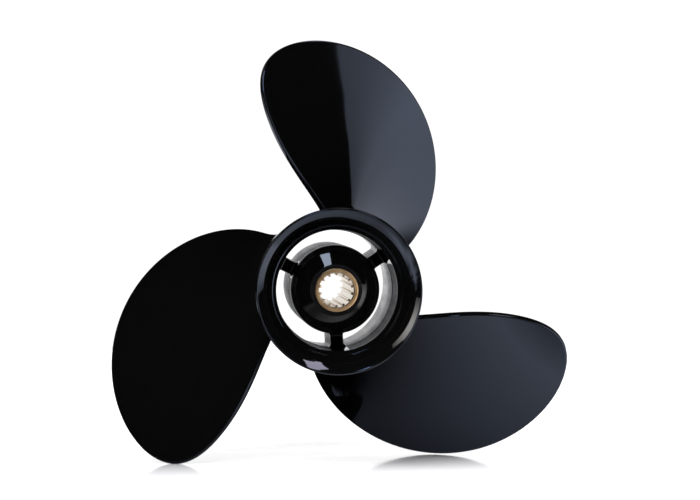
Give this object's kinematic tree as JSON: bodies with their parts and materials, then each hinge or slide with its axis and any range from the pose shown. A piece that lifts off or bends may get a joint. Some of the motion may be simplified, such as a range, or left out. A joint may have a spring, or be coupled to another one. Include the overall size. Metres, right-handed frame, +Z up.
{
  "type": "outboard motor propeller",
  "caption": "Three-bladed right-hand boat propeller with a hollow hub for exhaust, a flared aft ring and a splined, rubber-mounted sleeve.",
  "frame": {"origin": "on the shaft's axis at the forward end of the splined sleeve, where the shaft's thrust washer bears", "axes": "+Y forward along the shaft, the way the propeller drives; +Z up and +X to the right, seen from aft; blades turned as in the picture"},
  "size_m": [0.2385, 0.107, 0.2196],
  "materials": {
    "black_gloss_paint": "gloss",
    "cast_aluminium": "matte",
    "rubber": "matte",
    "brass": "satin"
  },
  "bodies": {
    "root": {"outer_barrel": "black_gloss_paint", "flared_ring": "black_gloss_paint", "inner_hub": "black_gloss_paint", "rib_1": "cast_aluminium", "rib_2": "cast_aluminium", "rib_3": "cast_aluminium", "blade_1": "black_gloss_paint", "blade_2": "black_gloss_paint", "blade_3": "black_gloss_paint", "rubber_bush": "rubber", "splined_sleeve": "brass"}
  },
  "joints": []
}
